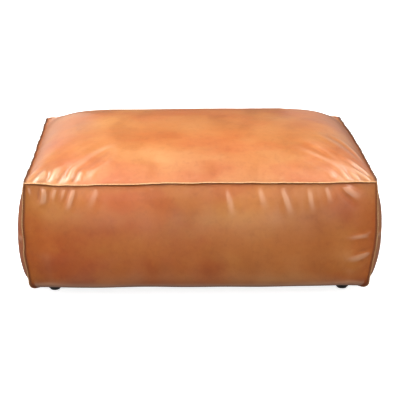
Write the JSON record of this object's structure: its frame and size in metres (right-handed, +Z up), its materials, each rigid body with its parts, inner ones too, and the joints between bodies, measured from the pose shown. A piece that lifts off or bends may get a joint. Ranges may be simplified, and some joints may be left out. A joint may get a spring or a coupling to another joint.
{
  "type": "leather ottoman",
  "caption": "Rectangular leather pouf or ottoman with a cushioned top, turned-out raw seams and low round feet.",
  "frame": {"origin": "on the floor, under the centre of the object", "axes": "+Z up, X along the longer sides, -Y towards the front"},
  "size_m": [1.084, 0.764, 0.436],
  "materials": {
    "leather": "waxed full-grain pull-up leather, mottled tan",
    "thread": "waxed sewing thread, brown",
    "batting": "polyester fibre batting, white",
    "ticking": "downproof cotton ticking, natural",
    "foam": "open-cell upholstery foam, cream",
    "insulator": "needled fibre insulator pad, brown",
    "spring_steel": "oil-tempered spring wire, dark",
    "zinc_steel": "zinc-plated steel",
    "pine": "planed softwood, unfinished",
    "foot_lacquer": "turned hardwood, black satin lacquer",
    "felt": "pressed felt, black",
    "dust_cover_cloth": "spunbonded dust-cover cloth, black"
  },
  "bodies": {
    "root": {"back_cleat": "pine", "back_rail": "pine", "centre_brace": "pine", "corner_post_back_left": "pine", "corner_post_back_right": "pine", "corner_post_front_left": "pine", "corner_post_front_right": "pine", "corner_seam_thread": "thread", "dust_cover": "dust_cover_cloth", "dust_cover_staples": "zinc_steel", "feather_topper": "ticking", "fibre_wrap_back": "batting", "fibre_wrap_front": "batting", "fibre_wrap_left": "batting", "fibre_wrap_right": "batting", "foam_core": "foam", "foot_back_left": "foot_lacquer", "foot_back_right": "foot_lacquer", "foot_front_left": "foot_lacquer", "foot_front_right": "foot_lacquer", "foot_stud_back_left": "zinc_steel", "foot_stud_back_right": "zinc_steel", "foot_stud_front_left": "zinc_steel", "foot_stud_front_right": "zinc_steel", "frame_screws": "zinc_steel", "front_cleat": "pine", "front_rail": "pine", "glide_back_left": "felt", "glide_back_right": "felt", "glide_front_left": "felt", "glide_front_right": "felt", "insulator_pad": "insulator", "leather_back": "leather", "leather_front": "leather", "leather_left": "leather", "leather_right": "leather", "leather_staples": "zinc_steel", "leather_top": "leather", "left_rail": "pine", "right_rail": "pine", "spring_1": "spring_steel", "spring_2": "spring_steel", "spring_3": "spring_steel", "spring_4": "spring_steel", "spring_5": "spring_steel", "spring_6": "spring_steel", "spring_clips": "spring_steel", "threaded_insert_back_left": "zinc_steel", "threaded_insert_back_right": "zinc_steel", "threaded_insert_front_left": "zinc_steel", "threaded_insert_front_right": "zinc_steel", "tie_wires": "spring_steel", "top_seam_thread": "thread"}
  },
  "joints": []
}
